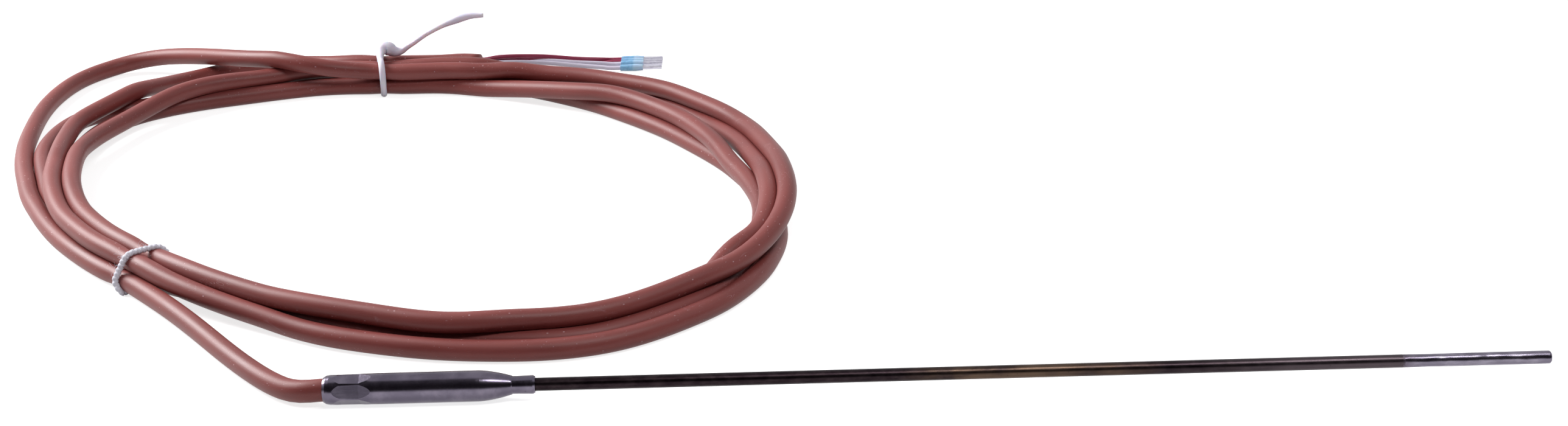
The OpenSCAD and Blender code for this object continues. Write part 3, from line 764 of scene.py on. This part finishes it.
cover(silicone_jacket(), cable)
cover(core_silicone("red_core_silicone", srgb(138, 28, 64), srgb(166, 66, 100)),
      *[core for core in cores if "red" in core.name])
cover(core_silicone("white_core_silicone", srgb(206, 198, 216), srgb(226, 220, 232)),
      *[core for core in cores if "white" in core.name])
cover(elastic_braid(), elastic_loop, elastic_fibres)
cover(milky_nylon(), nylon_strap, nylon_tail)
dress(crimped_steel(), "transition_sleeve")
dress(heated_sheath(), "sheath_tube")
dress(bright_tip(), "tip_tube")
dress(weld_bead(), "tip_weld")
dress(blue_collar(), *numbered("ferrule_collar"))
dress(plated_tube(), *numbered("ferrule_tube"))
dress(inner_finish("packed_oxide", srgb(214, 212, 206), srgb(238, 236, 230), 0, 0.85, 0.3),
      "sheath_insulation", "tip_powder_fill")
dress(inner_finish("alumina_element", srgb(214, 206, 188), srgb(236, 230, 214), 0, 0.5, 0.4),
      "rtd_element")
dress(inner_finish("conductor_metal", srgb(186, 160, 120), srgb(206, 182, 142), 1, 0.35, 0.4),
      *numbered("sheath_conductor"), *numbered("element_lead", 2))
dress(inner_finish("crimp_brass", srgb(170, 136, 70), srgb(200, 168, 98), 1, 0.35, 0.4),
      *numbered("splice_crimp"))
dress(inner_finish("splice_sleeving", srgb(222, 216, 186), srgb(240, 236, 212), 0, 0.5, 0.5),
      *numbered("splice_cover"))
dress(inner_finish("dark_resin", srgb(44, 42, 44), srgb(66, 62, 62), 0, 0.45, 0.8),
      "sleeve_potting")
dress(inner_finish("tinned_strands", srgb(176, 172, 176), srgb(206, 202, 204), 1, 0.35, 0.3),
      *numbered("lead_strand"))
dress(inner_finish("inner_red_silicone", srgb(126, 30, 62), srgb(150, 56, 86), 0, 0.4, 0.8),
      "lead_core_1", "lead_core_4")
dress(inner_finish("inner_white_silicone", srgb(206, 198, 216), srgb(226, 220, 232), 0, 0.4, 0.8),
      "lead_core_2", "lead_core_3")

# ---- floor, light and background -----------------------------------------------------------

FLOOR_HALF = 6000
FLOOR_GREY = (0.52, 0.52, 0.52)
FLOOR_LIFT = 0.78           # added where the camera or a shiny surface sees the floor
UNLIT_SIDE = (-0.02, 0.25)  # how far round to -Y, and how high, the room's dark part starts
UNLIT_HEIGHT = (0.02, 0.14)
ROOM_SEEN, DARK_SEEN = (0.8, 0.8, 0.82), (0.03, 0.025, 0.03)        # in metal and gloss
ROOM_LIGHT, DARK_LIGHT = (0.33, 0.33, 0.34), (0.06, 0.055, 0.06)    # on everything


def add_floor():
    """Pale paper that looks white and still takes the part's shadow."""
    mesh = bpy.data.meshes.new("floor")
    mesh.from_pydata([(x * FLOOR_HALF * MM, y * FLOOR_HALF * MM, FLOOR * MM)
                      for x, y in ((-1, -1), (1, -1), (1, 1), (-1, 1))], [], [(0, 1, 2, 3)])
    floor = bpy.data.objects.new("floor", mesh)
    bpy.context.scene.collection.objects.link(floor)
    f = Finish("floor_paper", FLOOR_GREY, roughness=0.9, specular=0, emission_strength=1)
    camera, glossy, glass = f.ray_kinds()
    f.feed("Emission Color", (camera + glossy + glass).ramp(0, 1) * FLOOR_LIFT)
    mesh.materials.append(f.material)


def add_world():
    """A pale room behind and above the part, with its unlit side towards -Y. The camera
    and glass see plain white."""
    world = bpy.data.worlds.new("studio")
    bpy.context.scene.world = world
    sky = Tree(world)
    _, y, z = sky.parts(sky.node("ShaderNodeTexCoord", out="Generated"))
    unlit = (0 - y).ramp(*UNLIT_SIDE) * z.ramp(*UNLIT_HEIGHT)
    camera, glossy, glass = sky.ray_kinds()
    lit = sky.blend(glossy, sky.blend(unlit, ROOM_LIGHT, DARK_LIGHT),
                    sky.blend(unlit, ROOM_SEEN, DARK_SEEN))
    sky.put(sky.nodes["Background"].inputs["Color"],
            sky.blend((camera + glass).ramp(0, 1), lit, (1, 1, 1)))


def add_lamp(name, at, aim, size, watts):
    """A rectangular soft box. Its place, the point it faces and its size are in metres."""
    data = bpy.data.lights.new(name, "AREA")
    data.shape, data.size, data.size_y, data.energy = "RECTANGLE", size[0], size[1], watts
    lamp = bpy.data.objects.new(name, data)
    lamp.location = Vector(at)
    lamp.rotation_euler = (Vector(aim) - Vector(at)).to_track_quat("-Z", "Y").to_euler()
    bpy.context.scene.collection.objects.link(lamp)


add_floor()
add_world()
add_lamp("softbox", (0.22, -0.17, 0.52), (0.16, 0.02, 0), (0.36, 0.1), 1.7)
add_lamp("side_softbox", (-0.62, 0.38, 0.46), (-0.04, 0.1, 0), (0.42, 0.42), 9.6)
bpy.context.scene.view_settings.view_transform = "Standard"
